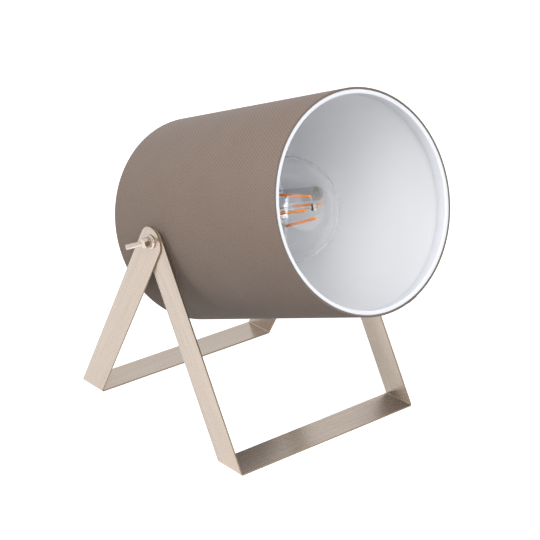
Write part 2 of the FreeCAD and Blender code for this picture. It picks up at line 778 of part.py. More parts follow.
def make_bulb_stem():
    """The glass mount: a flared foot sealed in the neck, a pressed part, a rod and its bead."""
    body = new_body("bulb_stem")
    foot = glass_rear
    waist = foot + stem_foot_radius
    half_way = foot + stem_foot_radius / 2
    front = filament_front
    bead = s.bead_radius
    turn(body, [(as_size(0), foot), (stem_foot_radius, foot),
                (stem_foot_radius - s.stem_flare, half_way), (s.stem_radius, waist),
                (s.stem_radius, stem_pinch), (s.rod_radius, stem_pinch + s.stem_radius),
                (s.rod_radius, front - bead), (bead, front - bead / 2), (bead, front + bead / 2),
                (s.rod_radius, front + bead), (as_size(0), front + bead)])
    return along_shade(body)


def filament_end(number, spread, forward):
    """One end of a filament, in the shade's own axes."""
    angle = math.radians(float(s.filament_turn) + 360.0 * number / float(s.filament_count))
    radius = float(spread)
    return Vector(-radius * math.sin(angle), radius * math.cos(angle), float(forward))


def rod_between(name, radius, start, end):
    """A round rod from one point to another, both in the shade's own axes."""
    rod = doc.addObject("Part::Cylinder", name)
    bind(rod, "Radius", radius)
    rod.Height = (end - start).Length
    turned = Rotation(Vector(0, 0, 1), end - start)
    onto_shade = Placement(PIVOT, Rotation(Vector(0, 1, 0), 90 - float(s.tilt_angle)))
    rod.Placement = onto_shade.multiply(Placement(start, turned))
    return rod


def make_filaments():
    rods = []
    for number in range(count(s.filament_count)):
        rear = filament_end(number, s.filament_rear_spread, filament_rear)
        front = filament_end(number, s.filament_front_spread, filament_front)
        rods.append(rod_between("filament", s.filament_radius, rear, front))
    return group_of("filaments", rods)


def make_filament_wires():
    """Wires from the bead to the filaments' front ends, and from the stem to their rear ends."""
    rods = []
    for number in range(count(s.filament_count)):
        bead = filament_end(number, s.bead_radius, filament_front)
        front = filament_end(number, s.filament_front_spread, filament_front)
        inward = (bead - front).normalize() * float(s.filament_radius + s.seat_gap)
        rods.append(rod_between("front_wire", s.lead_radius, front + inward, bead))
        pinch = filament_end(number, s.stem_radius, stem_pinch - s.stem_radius)
        rear = filament_end(number, s.filament_rear_spread, filament_rear - s.seat_gap)
        rods.append(rod_between("rear_wire", s.lead_radius, pinch, rear))
    return group_of("filament_wires", rods)


# The whole lamp

def make_lamp():
    """Every piece of the lamp."""
    cover_inner = s.cover_radius - s.cover_wall
    pieces = [
        make_stand("back_stand", wide_outer, -1),
        make_stand("front_stand", narrow_outer, 1),
        make_tube("fabric_cover", s.cover_radius, cover_inner, -s.shade_rear, s.shade_front),
        make_tube("shade_liner", liner_outer, liner_inner, panel_front, s.shade_front),
        make_hem("front_hem", s.shade_front, -1),
        make_hem("rear_hem", panel_front, 1),
        make_ring_wire("front_wire", s.shade_front, -1),
        make_ring_wire("rear_wire", panel_front, 1),
        make_back_panel(),
        make_cord_gland(),
        make_yoke(),
        make_nipple(),
        make_nipple_nut(),
        make_holder_cap(),
        make_holder_sleeve(),
        make_holder_core(),
        make_screw_shell(),
        make_centre_contact(),
        make_side_contact(),
        make_terminal_screws(),
        make_bulb_glass(),
        make_bulb_cap(),
        make_cap_insulator(),
        make_base_contact(),
        make_bulb_stem(),
        make_filaments(),
        make_filament_wires(),
    ]
    for name, side, angle in (("right", -1, s.right_wing_angle), ("left", 1, s.left_wing_angle)):
        pieces.append(make_pivot_bush("pivot_bush_" + name, side))
        pieces.append(make_friction_washer("friction_washer_" + name, side))
        pieces.append(make_wing_screw("wing_screw_" + name, side, float(angle)))
    return pieces


def owners(item):
    bodies = [owner for owner in item.InListRecursive if owner.isDerivedFrom("PartDesign::Body")]
    return ", ".join(body.Label for body in bodies)


def check_document():
    """Stops the build if any object of the document has failed."""
    for item in doc.Objects:
        if "Invalid" in item.State or "Error" in item.State:
            raise ValueError("%s of %s has failed: %s" % (item.Label, owners(item), item.State))


def write_pieces(pieces):
    os.makedirs("parts", exist_ok=True)
    for piece in pieces:
        shape = piece.Shape
        if shape.isNull() or not shape.isValid():
            raise ValueError("%s has no valid shape" % piece.Label)
        shape.exportStep("parts/%s.step" % piece.Label)
        print("%-24s %d solids %10.1f mm3" % (piece.Label, len(shape.Solids), shape.Volume))


lamp = make_lamp()
doc.recompute()
check_document()
write_pieces(lamp)
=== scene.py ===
# %% [markdown]
# # A tabletop searchlight lamp
# A round fabric shade hangs between two bent metal strips, and a wing screw on each side holds all
# three. This notebook dresses the lamp: the frame brings every piece at its true size and place,
# and each cell below remakes one piece or one finish the way the real one looks.

# %% Load the frame
import json
import math

import bmesh
import bpy
from mathutils import Matrix, Vector


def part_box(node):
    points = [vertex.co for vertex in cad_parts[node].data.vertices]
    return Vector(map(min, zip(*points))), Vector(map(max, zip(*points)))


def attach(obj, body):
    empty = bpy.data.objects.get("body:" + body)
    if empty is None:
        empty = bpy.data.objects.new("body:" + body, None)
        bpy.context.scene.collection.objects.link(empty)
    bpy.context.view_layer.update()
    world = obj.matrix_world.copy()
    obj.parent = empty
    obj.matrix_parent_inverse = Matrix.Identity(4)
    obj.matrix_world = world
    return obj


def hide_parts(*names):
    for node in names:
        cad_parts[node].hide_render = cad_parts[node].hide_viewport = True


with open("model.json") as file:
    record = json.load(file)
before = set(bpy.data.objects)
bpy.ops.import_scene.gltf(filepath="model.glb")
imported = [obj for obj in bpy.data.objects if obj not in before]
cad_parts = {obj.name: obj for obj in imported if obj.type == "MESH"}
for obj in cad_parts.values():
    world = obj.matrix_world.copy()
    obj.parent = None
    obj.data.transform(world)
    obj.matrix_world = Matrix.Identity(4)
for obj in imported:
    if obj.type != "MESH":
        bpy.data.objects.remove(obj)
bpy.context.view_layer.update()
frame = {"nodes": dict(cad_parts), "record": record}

# %% [markdown]
# ## Where things are
# Nothing is placed by eye. The tilt joint says where the pivot axis is, the cord inlet says which
# way the shade points, and every radius and length is read off the frame's own pieces.

# %% Read the frame's axes and sizes
MM = 0.001
FULL_TURN = 2 * math.pi
behaviour = frame["record"]["behaviour"]
tilt_joint = next(joint for joint in behaviour["joints"] if joint["name"] == "tilt")
inlet = next(mount for mount in frame["record"]["mounts"] if mount["name"] == "cord_inlet")
pivot = Vector(tilt_joint["pos_m"])
shade_axis = -Vector(inlet["axis"]).normalized()
left = Vector((0, 1, 0))


def axis_place(origin, along, side):
    """A matrix whose Z runs along an axis and whose Y runs to one side of it."""
    down = side.cross(along).normalized()
    basis = Matrix((down, along.cross(down), along)).transposed().to_4x4()
    return Matrix.Translation(origin) @ basis


shade_place = axis_place(pivot, shade_axis, left)


def measure(name, place=None):
    """Lowest and highest station and least and greatest radius of a node about an axis."""
    back = (place or shade_place).inverted()
    points = [back @ vertex.co for vertex in frame["nodes"][name].data.vertices]
    heights = [point.z for point in points]
    radii = [math.hypot(point.x, point.y) for point in points]
    return min(heights), max(heights), min(radii), max(radii)


cover_rear, cover_front, cover_inner, cover_outer = measure("fabric_cover")
print("pivot", tuple(pivot), "shade radius mm", round(cover_outer / MM, 2))

# %% [markdown]
# ## Small tools
# A colour is written as the sRGB hex value that a paint card would give, and one function turns it
# to the linear numbers that the renderer works in. Another adds a node with its settings and
# links, and the rest build the small groups of nodes that every finish needs.


# %% Colour and node helpers
def linear(hex_colour):
    """Turns an sRGB hex colour into linear red, green and blue, with full alpha."""
    channels = [int(hex_colour[start:start + 2], 16) / 255 for start in (1, 3, 5)]
    curve = [c / 12.92 if c <= 0.04045 else ((c + 0.055) / 1.055) ** 2.4 for c in channels]
    return curve + [1.0]


def add_node(tree, kind, inputs=None, **settings):
    """Adds one node. Settings are its own choices; inputs are values or links for its sockets."""
    node = tree.nodes.new(kind)
    for name, value in settings.items():
        setattr(node, name, value)
    for socket, value in (inputs or {}).items():
        if isinstance(value, bpy.types.NodeSocket):
            tree.links.new(value, node.inputs[socket])
        else:
            node.inputs[socket].default_value = value
    return node


def start_material(name):
    """An empty material with its node tree."""
    material = bpy.data.materials.new(name)
    material.use_nodes = True
    material.node_tree.nodes.clear()
    return material, material.node_tree


def end_material(tree, shader):
    """Links the last shader to the material's surface."""
    add_node(tree, "ShaderNodeOutputMaterial", {"Surface": shader.outputs[0]})


def end_principled(material, inputs):
    """Ends a material in one Principled shader with these inputs."""
    tree = material.node_tree
    end_material(tree, add_node(tree, "ShaderNodeBsdfPrincipled", inputs))
    return material


def object_place(tree):
    """The coordinate that stays with the piece, in metres."""
    return add_node(tree, "ShaderNodeTexCoord").outputs["Object"]


def noise(tree, where, scale, detail, output="Fac", **inputs):
    """A cloudy pattern at a coordinate."""
    node = add_node(tree, "ShaderNodeTexNoise",
                    {"Vector": where, "Scale": scale, "Detail": detail, **inputs})
    return node.outputs[output]


def calculate(tree, operation, *values):
    """The result of one sum on numbers or sockets."""
    return add_node(tree, "ShaderNodeMath", dict(enumerate(values)), operation=operation).outputs[0]


def add_share(tree, base, value, weight):
    """The base plus a share of a value."""
    return calculate(tree, "MULTIPLY_ADD", value, weight, base)


def remap(tree, value, start=(0.0, 1.0), goal=(0.0, 1.0)):
    """Carries a value from one range over to another."""
    limits = {"From Min": start[0], "From Max": start[1], "To Min": goal[0], "To Max": goal[1]}
    return add_node(tree, "ShaderNodeMapRange", {"Value": value, **limits}).outputs[0]


def blend(tree, factor, low, high):
    """A colour between two hex colours."""
    return add_node(tree, "ShaderNodeMix", {"Factor": factor, 6: linear(low), 7: linear(high)},
                    data_type="RGBA").outputs[2]


def bump(tree, height, strength, depth):
    """A surface normal that a pattern tilts."""
    return add_node(tree, "ShaderNodeBump",
                    {"Height": height, "Strength": strength, "Distance": depth}).outputs[0]


# %% [markdown]
# Most pieces of a lamp are round, and a lathe makes them: an outline of radius and height is spun
# about its axis. A face drawn through the outline lets the bevel operator round its corners first,
# as a tool would, and then only its edge is spun.


# %% Lathe and finishing helpers
TINY = 1e-7
WELD = 1e-6


def turned(outline, steps=96, angle=FULL_TURN):
    """Spins a closed outline of (radius, height[, corner rounding]) about Z, all in metres."""
    bm = bmesh.new()
    corners = [bm.verts.new((point[0], 0, point[1])) for point in outline]
    bm.faces.new(corners)
    roundings = sorted({point[2] for point in outline if len(point) > 2})
    for rounding in roundings:
        chosen = [v for v, point in zip(corners, outline) if point[2:] == (rounding,)]
        bmesh.ops.bevel(bm, geom=chosen, offset=rounding, segments=4, profile=0.5,
                        affect="VERTICES", material=-1, offset_type="OFFSET")
    bmesh.ops.delete(bm, geom=bm.faces[:], context="FACES_ONLY")
    on_axis = [edge for edge in bm.edges if all(abs(v.co.x) < TINY for v in edge.verts)]
    bmesh.ops.delete(bm, geom=on_axis, context="EDGES")
    whole = angle == FULL_TURN
    bmesh.ops.spin(bm, geom=bm.verts[:] + bm.edges[:], cent=(0, 0, 0), axis=(0, 0, 1),
                   angle=angle, steps=steps, use_merge=whole)
    bmesh.ops.remove_doubles(bm, verts=bm.verts[:], dist=TINY)
    if not whole:
        bmesh.ops.holes_fill(bm, edges=[edge for edge in bm.edges if edge.is_boundary])
    bmesh.ops.recalc_face_normals(bm, faces=bm.faces[:])
    return bm


def arc(centre, radius, start, end, steps):
    """Points of an arc in the outline's plane; angles in degrees from the radius direction."""
    points = []
    for step in range(steps + 1):
        angle = math.radians(start + (end - start) * step / steps)
        points.append((centre[0] + radius * math.cos(angle), centre[1] + radius * math.sin(angle)))
    return points


def wrap_uv(bm, radius):
    """A UV map in metres: round the axis along U, along the axis up V."""
    layer = bm.loops.layers.uv.new("wrap")
    for face in bm.faces:
        middle = face.calc_center_median()
        base = math.atan2(middle.y, middle.x)
        for loop in face.loops:
            point = loop.vert.co
            step = math.atan2(point.y, point.x) - base
            step -= FULL_TURN * round(step / FULL_TURN)
            spread = math.hypot(point.x, point.y) - radius
            loop[layer].uv = ((base + step) * radius, point.z + spread)


body_of = {node: body for body, nodes in behaviour["bodies"].items() for node in nodes}


def place_piece(bm, name, node, material, place=None, sharp=35.0, replaces=True):
    """Makes a piece of a finished mesh: puts it in place, dresses it and hangs it on its body."""
    if place is not None:
        bmesh.ops.transform(bm, matrix=place, verts=bm.verts[:])
    mesh = bpy.data.meshes.new(name)
    bm.to_mesh(mesh)
    bm.free()
    mesh.shade_smooth()
    mesh.set_sharp_from_angle(angle=math.radians(sharp))
    mesh.materials.append(material)
    piece = bpy.data.objects.new(name, mesh)
    bpy.context.scene.collection.objects.link(piece)
    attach(piece, body_of[node])
    if replaces:
        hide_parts(node)
    return piece


# %% [markdown]
# ## The camera
# It stands where the photographer stood: in front of the lamp, on its right side, a little over a
# metre away and looking down. A long lens keeps the sides nearly parallel.

# %% Camera
CAMERA_FROM_PIVOT_FOOT = Vector((0.90810, -0.72791, 0.59595))
LOOK = Vector((-0.7023, 0.5878, -0.4015))
LENS_MM = 108.52
SENSOR_MM = 36.0
FRAME_SHIFT = (-0.01108, 0.04535)

camera_data = bpy.data.cameras.new("camera")
camera_data.lens = LENS_MM
camera_data.sensor_width = SENSOR_MM
camera_data.shift_x, camera_data.shift_y = FRAME_SHIFT
camera = bpy.data.objects.new("camera", camera_data)
camera.location = CAMERA_FROM_PIVOT_FOOT + Vector((pivot.x, 0, 0))
camera.rotation_euler = LOOK.to_track_quat("-Z", "Y").to_euler()
bpy.context.scene.collection.objects.link(camera)
bpy.context.scene.camera = camera
print("camera at", tuple(round(value, 3) for value in camera.location))

# %% [markdown]
# ## Finishes
# ### Woven shade cloth
# The cover is a fine polyester twill bonded to film: dull, warm grey-brown, with slanting ribs. A
# sheen lobe gives the soft light of fibre ends at grazing angles. The ribs are really half a
# millimetre apart, finer than the picture's pixels, so they are drawn about four times as coarse.

# %% Twill cloth
TWILL_PITCH = 2.0 * MM
CROSS_PITCH = 1.9 * MM
TWILL_SLOPE = math.radians(55)
WANDERS_PER_M = 90.0
SLUBS_PER_M = 750.0
CLOUDS_PER_M = 26.0
THREAD_WANDER = 0.5 * MM
THREAD_RELIEF = 0.12 * MM
WEFT_SHARE = 0.6
SLUB_SHARE = 2.2
CLOUD_SHARE = 0.8


def stripes(tree, coordinate, direction, pitch):
    """Soft parallel stripes across a direction of a UV map, as a value from 0 to 1."""
    across = add_node(tree, "ShaderNodeVectorMath", {0: coordinate, 1: direction},
                      operation="DOT_PRODUCT").outputs["Value"]
    wave = calculate(tree, "SINE", calculate(tree, "MULTIPLY", across, FULL_TURN / pitch))
    return calculate(tree, "MULTIPLY_ADD", wave, 0.5, 0.5)


def make_twill(name, light, dark):
    """Cloth of slanting ribs crossed by weft, with uneven threads and a faint cloudiness."""
    material, tree = start_material(name)
    uv = add_node(tree, "ShaderNodeUVMap", uv_map="wrap").outputs["UV"]
    across_rib = (math.sin(TWILL_SLOPE), -math.cos(TWILL_SLOPE), 0)
    across_weft = (math.sin(TWILL_SLOPE), math.cos(TWILL_SLOPE), 0)
    wobble = noise(tree, uv, WANDERS_PER_M, 2.0, output="Color")
    wander = add_node(tree, "ShaderNodeVectorMath",
                      {0: wobble, 1: (THREAD_WANDER, THREAD_WANDER, 0)}, operation="MULTIPLY")
    bent = add_node(tree, "ShaderNodeVectorMath", {0: uv, 1: wander.outputs[0]},
                    operation="ADD").outputs[0]
    ribs = stripes(tree, bent, across_rib, TWILL_PITCH)
    weave = add_share(tree, ribs, stripes(tree, bent, across_weft, CROSS_PITCH), WEFT_SHARE)
    threads = add_share(tree, weave, noise(tree, uv, SLUBS_PER_M, 3.0), SLUB_SHARE)
    clouded = add_share(tree, threads, noise(tree, uv, CLOUDS_PER_M, 3.0), CLOUD_SHARE)
    return end_principled(material, {
        "Base Color": blend(tree, remap(tree, clouded, start=(1.0, 3.5)), dark, light),
        "Roughness": 0.85, "Specular IOR Level": 0.15, "Sheen Weight": 0.15, "Sheen Roughness": 0.5,
        "Normal": bump(tree, threads, 0.35, THREAD_RELIEF)})


# A darker copy of the twill for the cover's end faces: painted shade on the cloth's edge.
shaded_cloth_edge = make_twill("cloth_edge_painted_shade", light="#7C7068", dark="#685D56")
twill = make_twill("polyester_twill", light="#88796F", dark="#6B5B51")

# %% [markdown]
# ### White film and tape
# The inside is smooth PVC film with a cool satin white, so the light slides along it. The hem is
# folded tape, whiter and duller, with a barely visible thread grain.


# %% White plastics
ROUGH_SPREAD = 0.04
MOTTLES_PER_M = 35.0


def make_plastic(name, colour, roughness, grain_mm=0.4, depth_mm=0.01, coat=0.0):
    """A moulded or rolled plastic: one colour with a slight mottle and a fine surface grain."""
    material, tree = start_material(name)
    where = object_place(tree)
    grain = noise(tree, where, 1 / (grain_mm * MM), 2.0)
    mottle = remap(tree, noise(tree, where, MOTTLES_PER_M, 2.0), goal=(0.97, 1.0))
    tint = add_node(tree, "ShaderNodeMix", {"Factor": 1.0, 6: linear(colour), 7: mottle},
                    data_type="RGBA", blend_type="MULTIPLY")
    return end_principled(material, {
        "Base Color": tint.outputs[2], "Coat Weight": coat,
        "Roughness": remap(tree, grain, goal=(roughness - ROUGH_SPREAD, roughness + ROUGH_SPREAD)),
        "Normal": bump(tree, grain, 0.3, depth_mm * MM)})


white_film = make_plastic("pvc_film", "#F7F8FB", roughness=0.38, grain_mm=0.8)
white_tape = make_plastic("hem_tape", "#E7E9EE", roughness=0.55, grain_mm=0.3, depth_mm=0.02)
white_thermoplastic = make_plastic("holder_thermoplastic", "#EDEDE9", roughness=0.32, coat=0.1)
nylon = make_plastic("natural_nylon", "#E4E0D6", roughness=0.4)
porcelain = make_plastic("lampholder_porcelain", "#E9E5DA", roughness=0.3, coat=0.3)
black_vitrite = make_plastic("black_vitrite", "#111111", roughness=0.12)

# %% [markdown]
# ### Metals
# The stands are steel with satin nickel plate, brushed along the strip before plating: fine lines
# that catch the light, and a warm, champagne tint. The wing screws have the same plate, polished.
# The hidden hardware is zinc-plated or brass. A metal's colour is the colour of its reflection.


# %% Metals
BRUSH_LINE = 0.8 * MM
LINE_STRETCH = 70
BAND_STRETCH = 200
BAND_WIDTH = 4
BAND_SHARE = 0.4
POLISH_GRAIN = 0.5 * MM


def make_brushed(name, light, dark, roughness):
    """Brushed plate under clear lacquer, which scatters some light. Its lines run along U of the
    strip's own UV map, wider than real ones, so they show."""
    material, tree = start_material(name)
    uv = add_node(tree, "ShaderNodeUVMap", uv_map="strip").outputs["UV"]
    fine = 1 / BRUSH_LINE
    drawn = add_node(tree, "ShaderNodeMapping",
                     {"Vector": uv, "Scale": (fine / LINE_STRETCH, fine, 1)})
    lines = noise(tree, drawn.outputs[0], 1.0, 4.0, Roughness=0.65)
    wide = add_node(tree, "ShaderNodeMapping",
                    {"Vector": uv, "Scale": (fine / BAND_STRETCH, fine / BAND_WIDTH, 1)})
    both = add_share(tree, lines, noise(tree, wide.outputs[0], 1.0, 2.0), BAND_SHARE)
    spread = remap(tree, both, start=(0.35, 1.05))
    grain_way = add_node(tree, "ShaderNodeTangent", direction_type="UV_MAP", uv_map="strip")
    return end_principled(material, {
        "Base Color": blend(tree, spread, dark, light), "Metallic": 0.85,
        "Roughness": remap(tree, spread, goal=(roughness + 0.06, roughness - 0.05)),
        "Anisotropic": 0.6, "Anisotropic Rotation": 0.25, "Tangent": grain_way.outputs[0],
        "Normal": bump(tree, lines, 0.25, 0.02 * MM)})


def make_metal(name, colour, roughness):
    """Plain plate or wire: one colour with slight cloudiness in its polish."""
    material, tree = start_material(name)
    grain = noise(tree, object_place(tree), 1 / POLISH_GRAIN, 3.0)
    return end_principled(material, {
        "Base Color": linear(colour), "Metallic": 1.0,
        "Roughness": remap(tree, grain, goal=(roughness - ROUGH_SPREAD, roughness + ROUGH_SPREAD)),
        "Normal": bump(tree, grain, 0.15, 0.01 * MM)})


satin_nickel = make_brushed("satin_nickel_plate", light="#C8BBB0", dark="#B5A79A", roughness=0.26)
# A darker metal for the stands' sheared edges: painted shade between the two stands.
shaded_strip_edge = make_metal("strip_edge_painted_shade", "#94856F", roughness=0.4)
polished_nickel = make_metal("polished_nickel_plate", "#CFC2B6", roughness=0.2)
zinc_plate = make_metal("zinc_plate", "#C9CCD0", roughness=0.34)
drawn_steel = make_metal("drawn_steel_wire", "#C4C4C2", roughness=0.3)
brass = make_metal("brass_strip", "#D9B765", roughness=0.25)
nickel_cap_plate = make_metal("bulb_cap_plate", "#CFCFCD", roughness=0.28)

# %% [markdown]
# ### Glass and filaments
# The globe is clear blown glass: nothing but reflection and refraction, so it needs both its
# walls. The filaments are rows of tiny chips under amber silicone, which looks warm even when off.


# %% Glass and silicone
RIPPLES_PER_M = 40.0
TINTS_PER_M = 700.0


def make_glass(name, colour, ripple):
    """Clear glass whose surface waves a little, by as much as the ripple says."""
    material, tree = start_material(name)
    waves = noise(tree, object_place(tree), RIPPLES_PER_M, 1.0)
    return end_principled(material, {
        "Base Color": linear(colour), "Roughness": 0.0, "IOR": 1.5, "Transmission Weight": 1.0,
        "Normal": bump(tree, waves, ripple, 0.2 * MM)})


def make_silicone(name, colour, deep):
    """Amber silicone: a tint that clouds along the strip."""
    material, tree = start_material(name)
    cloud = noise(tree, object_place(tree), TINTS_PER_M, 2.0)
    return end_principled(material, {
        "Base Color": blend(tree, cloud, deep, colour), "Roughness": 0.5,
        "Specular IOR Level": 0.1})


clear_glass = make_glass("blown_glass", "#FFFFFF", ripple=0.001)
stem_glass = make_glass("pressed_glass", "#FCFDFD", ripple=0.02)
amber = make_silicone("amber_silicone", "#FF9408", "#F58200")

# %% [markdown]
# ## The shade
# The cover is film and cloth rolled into a tube. Spinning a thin rectangle with softened corners
# gives it a small round edge. At the front the cloth is turned in by half a millimetre. Its end
# faces get a darker copy of the cloth, painted shade, so its edge draws a dark line round the
# white rim. The lap, where the cloth's ends meet, is a second layer on the underside, where the
# maker hides it.

# %% Cover and its lap
GLUE_LINE = 0.05 * MM
CLOTH_EDGE = 0.3 * MM
TURNED_IN = 0.5 * MM
TURNED_DEPTH = 1 * MM
LAP_WIDTH = 9 * MM
LAP_THICKNESS = 0.35 * MM
LAP_ANGLE = math.radians(14)

cover = turned([(cover_inner, cover_rear), (cover_outer, cover_rear, CLOTH_EDGE),
                (cover_outer, cover_front, CLOTH_EDGE), (cover_inner - TURNED_IN, cover_front),
                (cover_inner - TURNED_IN, cover_front - TURNED_DEPTH),
                (cover_inner, cover_front - TURNED_DEPTH)], steps=192)
wrap_uv(cover, cover_outer)
# The cover's end faces take the darker cloth, which is painted shade.
for face in cover.faces:
    face.material_index = 1 if abs(face.normal.z) > 0.5 else 0
cloth = place_piece(cover, "cover_cloth", "fabric_cover", twill, shade_place)
cloth.data.materials.append(shaded_cloth_edge)

lap = turned([(cover_outer - LAP_THICKNESS, cover_rear + LAP_THICKNESS),
              (cover_outer + LAP_THICKNESS, cover_rear + LAP_THICKNESS, LAP_THICKNESS / 2),
              (cover_outer + LAP_THICKNESS, cover_front - LAP_THICKNESS, LAP_THICKNESS / 2),
              (cover_outer - LAP_THICKNESS, cover_front - LAP_THICKNESS)],
             steps=8, angle=LAP_WIDTH / cover_outer)
wrap_uv(lap, cover_outer)
place_piece(lap, "cover_lap", "fabric_cover", twill,
            shade_place @ Matrix.Rotation(LAP_ANGLE, 4, "Z"), replaces=False)

# %% [markdown]
# The liner is the film itself, smooth all the way down. The hems are tape folded over a ring wire,
# so their lip is round, and the inner edge ends in a small step that draws the dark line inside
# the rim.

# %% Liner and hems
HEM_LIP = 0.9 * MM
HEM_STEP = 0.5 * MM

liner_rear, liner_front, liner_inner, liner_outer = measure("shade_liner")
liner_end = liner_front - TURNED_DEPTH - GLUE_LINE
liner = turned([(liner_inner, liner_rear), (liner_outer, liner_rear), (liner_outer, liner_end),
                (liner_inner, liner_end)], steps=192)
place_piece(liner, "liner_film", "shade_liner", white_film, shade_place)


def make_hem(name, node, open_end):
    """A folded hem; open_end is 1 when its lip faces forward and -1 when it faces back."""
    rear, front, inner, outer = measure(node)
    lip, foot = (front, rear) if open_end > 0 else (rear, front)
    hem = turned([(inner, lip, HEM_LIP), (outer, lip), (outer, foot), (inner, foot, HEM_STEP)],
                 steps=192)
    place_piece(hem, name, node, white_tape, shade_place)


make_hem("front_hem_tape", "front_hem", 1)
make_hem("rear_hem_tape", "rear_hem", -1)

# %% [markdown]
# The back is closed by a disc covered in the same cloth, with the cloth drawn round its edge.
# Inside, it is lined with the white film, because a dark disc would swallow the lamp's light. The
# cord's gland snaps into its middle.

# %% Back panel and gland
PANEL_EDGE = 0.6 * MM
GLAND_FLANGE = 2.2 * MM
GLAND_ROUND = 0.7 * MM
GLAND_SNAP = 0.7 * MM
GLAND_PLAY = 0.1 * MM

panel_rear, panel_front, panel_hole, panel_rim = measure("back_panel")
panel = turned([(panel_hole, panel_rear), (panel_rim, panel_rear, PANEL_EDGE),
                (panel_rim, panel_front), (panel_hole, panel_front)], steps=128)
layer = panel.loops.layers.uv.new("wrap")
for face in panel.faces:
    face.material_index = 1 if face.normal.z > 0.5 else 0
    for loop in face.loops:
        loop[layer].uv = (loop.vert.co.y, loop.vert.co.x)
back_panel = place_piece(panel, "back_panel_cloth", "back_panel", twill, shade_place)
back_panel.data.materials.append(white_film)

gland_rear, gland_front, gland_bore, gland_rim = measure("cord_gland")
neck = panel_hole - GLUE_LINE
gland = turned([(gland_bore, gland_rear, GLAND_ROUND), (gland_rim, gland_rear, GLAND_ROUND * 1.5),
                (gland_rim, gland_rear + GLAND_FLANGE), (neck, gland_rear + GLAND_FLANGE),
                (neck, panel_front), (neck + GLAND_SNAP, panel_front + GLAND_PLAY),
                (neck, gland_front), (gland_bore, gland_front)], steps=48)
place_piece(gland, "inlet_gland", "cord_gland", nylon, shade_place)

# %% [markdown]
# ## The stands
# Each stand is one strip, cut, bent twice and plated. The frame's own mesh has its exact form, so
# a copy of it is welded, its flat triangles are joined into whole faces, and a fine bevel breaks
# every edge as tumbling does. Its UV map runs along the strip, so the brushing turns at each bend.
# The sheared edges between the bevels get a darker, rougher metal, which is painted shade.

# %% Stand strips
STRIP_EDGE = 0.22 * MM
FLAT = math.radians(0.5)
SHARP_CORNER = math.radians(40)
HOLE_CLEAR = 4 * MM
RISE_SHARE = 0.3
ARM_FACING = 0.6
SIDE_FACING = 0.5
EDGE_FACING = 0.1


def welded_copy(node):
    """A welded copy of a frame mesh whose flat areas are single faces."""
    bm = bmesh.new()
    bm.from_mesh(frame["nodes"][node].data)
    bmesh.ops.remove_doubles(bm, verts=bm.verts[:], dist=WELD)
    bmesh.ops.dissolve_limit(bm, angle_limit=FLAT, verts=bm.verts[:], edges=bm.edges[:])
    return bm


def break_edges(bm, offset, keep=None):
    """Bevels every sharp edge that the keep test lets through."""
    sharp = [edge for edge in bm.edges if edge.is_manifold and edge.calc_face_angle() > SHARP_CORNER
             and (keep is None or keep(edge))]
    bmesh.ops.bevel(bm, geom=sharp, offset=offset, segments=2, profile=0.5, affect="EDGES",
                    material=-1, offset_type="OFFSET", clamp_overlap=True)


def off_the_hole(edge):
    """True for edges that aren't part of the pivot hole."""
    middle = (edge.verts[0].co + edge.verts[1].co) / 2 - pivot
    return math.hypot(middle.x, middle.z) > HOLE_CLEAR


def strip_uv(bm, lean):
    """U along the strip and V across it, for the leaning arms and the flat foot. A share of the
    height is added to V, so that the foot's upright edges don't shrink to a line."""
    layer = bm.loops.layers.uv.new("strip")
    across = lean.cross(left)
    for face in bm.faces:
        arm = abs(face.normal.y) > ARM_FACING
        for loop in face.loops:
            point = loop.vert.co - pivot
            if arm:
                loop[layer].uv = (point.dot(lean), point.dot(across) + point.y)
            else:
                loop[layer].uv = (point.y, point.x + point.z * RISE_SHARE)


def make_stand(name, node):
    """One strip with broken edges. The sheared edge faces get a darker metal: painted shade."""
    low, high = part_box(node)
    foot = Vector((max(low[0], high[0], key=abs), 0, 0)) - pivot
    strip = welded_copy(node)
    break_edges(strip, STRIP_EDGE, off_the_hole)
    strip_uv(strip, Vector((foot.x, 0, foot.z)).normalized())
    # The sheared edge faces get the darker metal, which is painted shade.
    for face in strip.faces:
        on_side = abs(face.normal.x) > SIDE_FACING or face.calc_center_median().z > pivot.z
        if abs(face.normal.y) < EDGE_FACING and on_side:
            face.material_index = 1
    piece = place_piece(strip, name, node, satin_nickel, sharp=50)
    piece.data.materials.append(shaded_strip_edge)
    print(name, "faces:", len(piece.data.polygons))


make_stand("back_strip", "back_stand")
make_stand("front_strip", "front_stand")

# %% [markdown]
# ## Wing screws
# A wing screw is cast, so its hub flows into its wings, and then it is polished. A subdivision
# cage does that best: a ring of eight sides for the hub, two opposite faces pulled out into wings,
# and edge loops kept close where the casting has an edge. The shank is turned apart and added.

# %% Wing screws
HUB_SIDES = 8
FLANGE_WALL = 1.1 * MM
HUB_HEIGHT = 6.2 * MM
HUB_RADII_MM = (5.6, 6.2, 6.2, 5.7, 4.9, 4.6, 4.4, 4.1, 3.0)
HUB_EASE = 0.2 * MM
HUB_FILLET = 0.8 * MM
HUB_SHOULDER = 1.2 * MM
HUB_CROWN = 0.5 * MM
WING_FOOT = 3.6 * MM
WING_THICK = 4.0 * MM
WING_TIP = 4.2 * MM
WING_STEPS = ((0.12, 0.05), (0.4, 0.3), (0.75, 0.72), (0.94, 0.97), (1.0, 1.0))
WING_CREASE = 0.35
SCREW_PLAY = 0.1 * MM
SHANK_RADIUS = 2.45 * MM
SHANK_ROOT = 2.1 * MM
SHANK_PITCH = 0.8 * MM
SHANK_COLLAR = 0.4 * MM
SHANK_SUNK = 0.5 * MM


def wing_place(node):
    """The pivot axis on one side: Z outward, with X along the wings."""
    record_joint = next(joint for joint in behaviour["joints"] if joint["child"] == body_of[node])
    outward = Vector(record_joint["axis"])
    points = [vertex.co - pivot for vertex in frame["nodes"][node].data.vertices]
    far = max(points, key=lambda point: math.hypot(point.x, point.z))
    along = Vector((far.x, 0, far.z)).normalized()
    return axis_place(pivot, outward, outward.cross(along))


